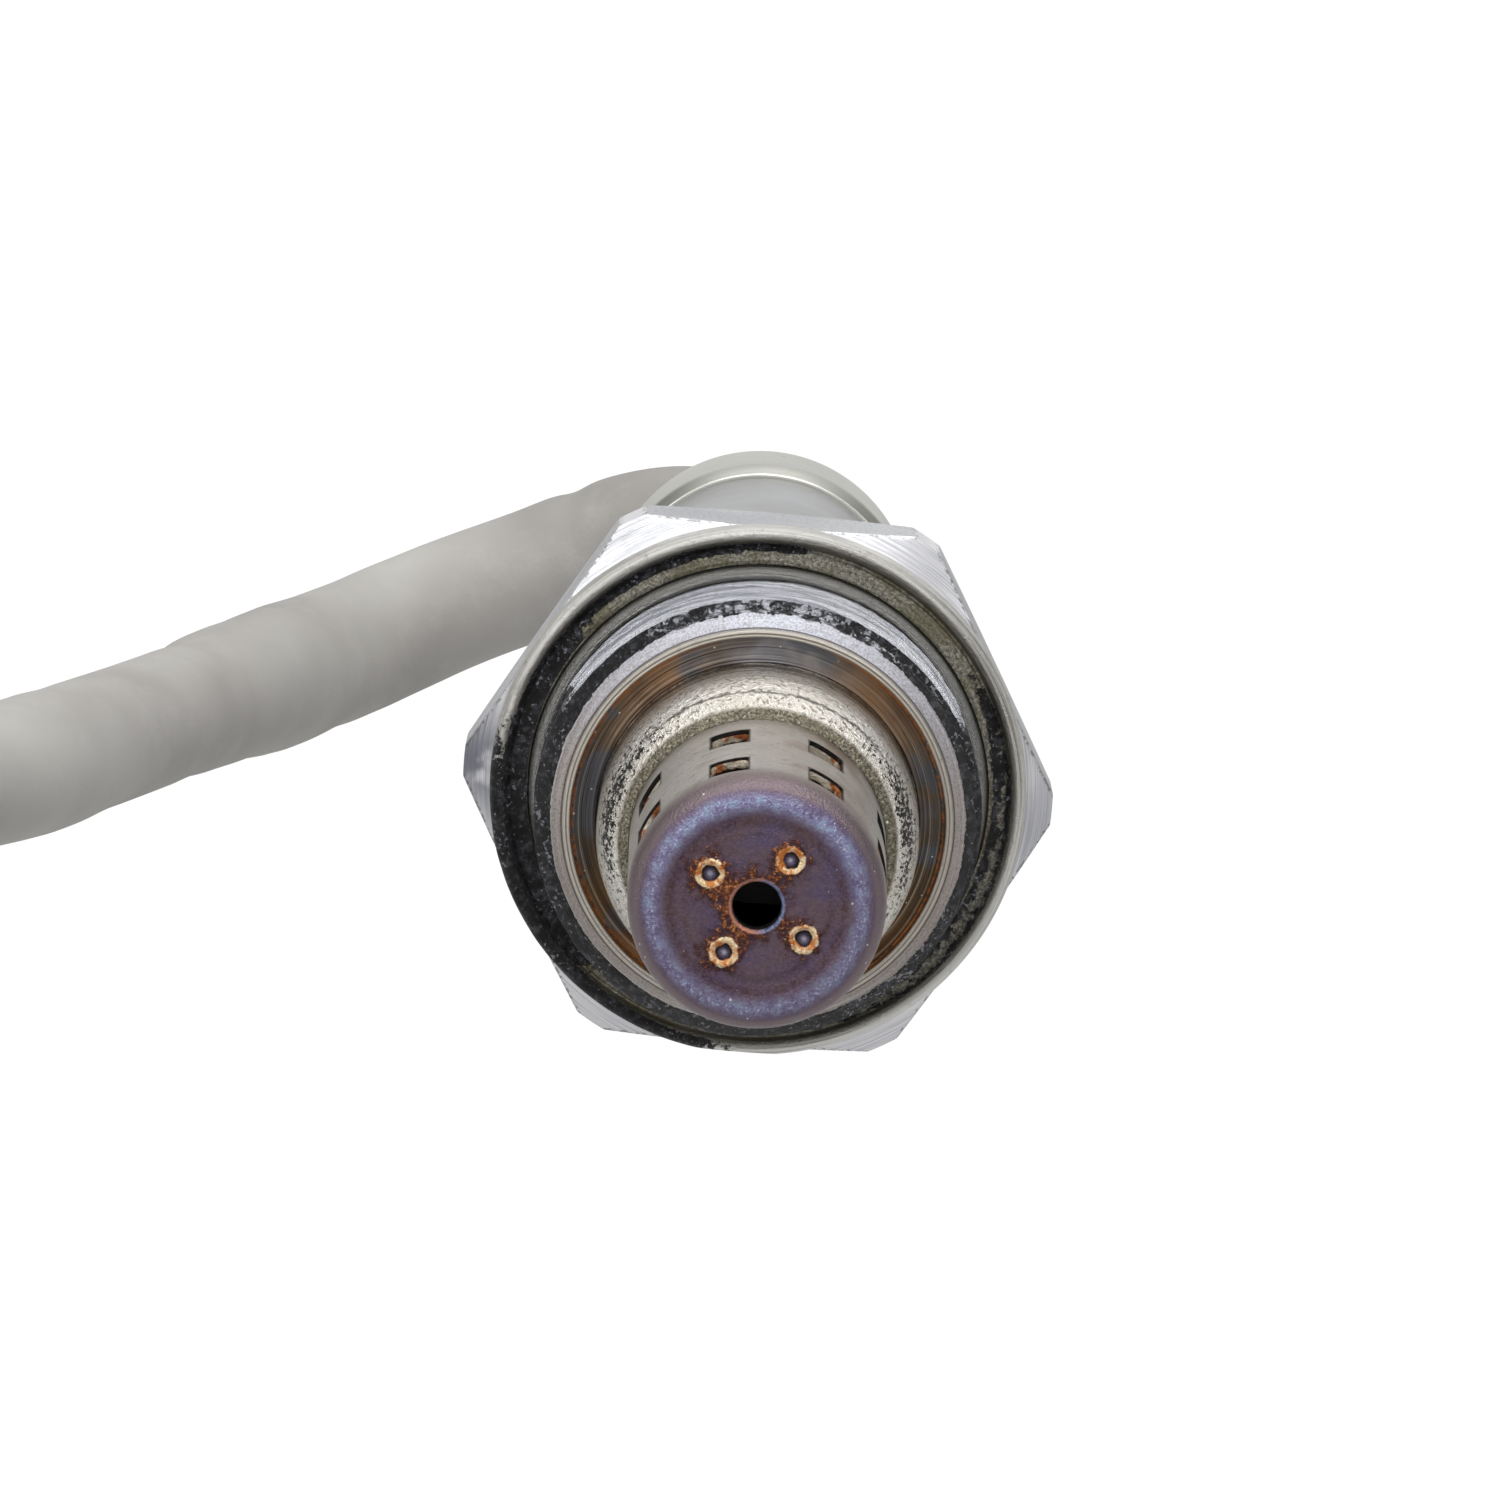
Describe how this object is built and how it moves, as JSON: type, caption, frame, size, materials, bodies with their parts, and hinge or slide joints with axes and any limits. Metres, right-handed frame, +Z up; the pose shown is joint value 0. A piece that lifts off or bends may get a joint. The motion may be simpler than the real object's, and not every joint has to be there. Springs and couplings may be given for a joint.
{
  "type": "oxygen sensor",
  "caption": "Screw-in exhaust gas sensor with slotted protection tube, captive gasket, wrench hexagon, rear sleeve and a sheathed lead ending in a plug-in connector.",
  "frame": {"origin": "on the floor, under the middle of the sensor without its lead", "axes": "+Z up, the sensor's axis along Y with its tip towards -Y, +X to the right seen from the tip"},
  "size_m": [0.1735, 0.0988, 0.0219],
  "materials": {
    "tip_steel": "heat-tinted satin steel, rusty at the edges",
    "inner_steel": "heat-stained steel",
    "housing_steel": "turned steel with dark thread paste",
    "gasket_steel": "dirty rolled sheet",
    "sleeve_steel": "smooth satin",
    "cover_steel": "smooth satin",
    "element_ceramic": "fired, fine grained",
    "insulator_ceramic": "unglazed",
    "seal_powder": "pressed powder",
    "spring_steel": "stamped strip",
    "contact_metal": "stamped strip",
    "grommet_rubber": "matte",
    "sheath": "matte coated sleeve, slightly lumpy",
    "boot_rubber": "matte",
    "connector_plastic": "fine moulded grain",
    "lock_plastic": "plain moulded",
    "seal_rubber": "matte",
    "tie_plastic": "plain moulded",
    "wire_black": "plain",
    "wire_grey": "plain",
    "wire_white": "plain"
  },
  "bodies": {
    "root": {"housing": "housing_steel", "sealing_gasket": "gasket_steel", "outer_protection_tube": "tip_steel", "inner_protection_tube": "inner_steel", "sensing_element": "element_ceramic", "front_insulator": "insulator_ceramic", "powder_seal": "seal_powder", "rear_insulator": "insulator_ceramic", "preload_ring": "spring_steel", "rear_sleeve": "sleeve_steel", "end_cover": "cover_steel", "cable_grommet": "grommet_rubber", "contact_holder_upper": "insulator_ceramic", "contact_holder_lower": "insulator_ceramic", "holder_clip": "spring_steel", "lead_cable": "sheath", "cable_coil": "sheath", "cable_tail": "sheath", "coil_tie": "tie_plastic", "connector_boot": "boot_rubber", "connector_body": "connector_plastic", "seal_retainer": "lock_plastic", "connector_rear_seal": "seal_rubber", "terminal_lock": "lock_plastic", "contact_spring_1": "contact_metal", "terminal_1": "contact_metal", "sensor_lead_1": "wire_black", "connector_lead_1": "wire_black", "contact_spring_2": "contact_metal", "terminal_2": "contact_metal", "sensor_lead_2": "wire_grey", "connector_lead_2": "wire_grey", "contact_spring_3": "contact_metal", "terminal_3": "contact_metal", "sensor_lead_3": "wire_white", "connector_lead_3": "wire_white", "contact_spring_4": "contact_metal", "terminal_4": "contact_metal", "sensor_lead_4": "wire_white", "connector_lead_4": "wire_white"}
  },
  "joints": []
}
